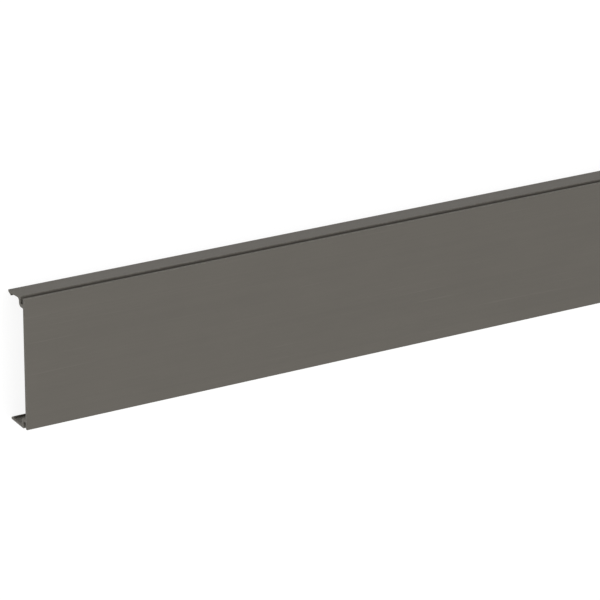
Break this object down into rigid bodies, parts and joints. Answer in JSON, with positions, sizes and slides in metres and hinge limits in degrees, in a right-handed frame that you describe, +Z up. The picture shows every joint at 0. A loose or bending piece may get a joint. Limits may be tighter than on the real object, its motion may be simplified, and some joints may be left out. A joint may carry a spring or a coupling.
{
  "type": "cable raceway cover",
  "caption": "Straight clip-on cover of a cable raceway: a flat front plate, and along each long edge an open groove and a leaning spring leg with an inward barb.",
  "frame": {"origin": "on the floor, under the middle of the length and of the width, as the cover lies on its leg tips", "axes": "+X along the extrusion, +Y across the width, +Z up, out of the front face"},
  "size_m": [2, 0.08, 0.0194],
  "materials": {
    "cover_plastic": "dark warm grey rigid plastic, smooth as extruded, with a soft sheen"
  },
  "bodies": {
    "root": {"raceway_cover": "cover_plastic"}
  },
  "joints": []
}
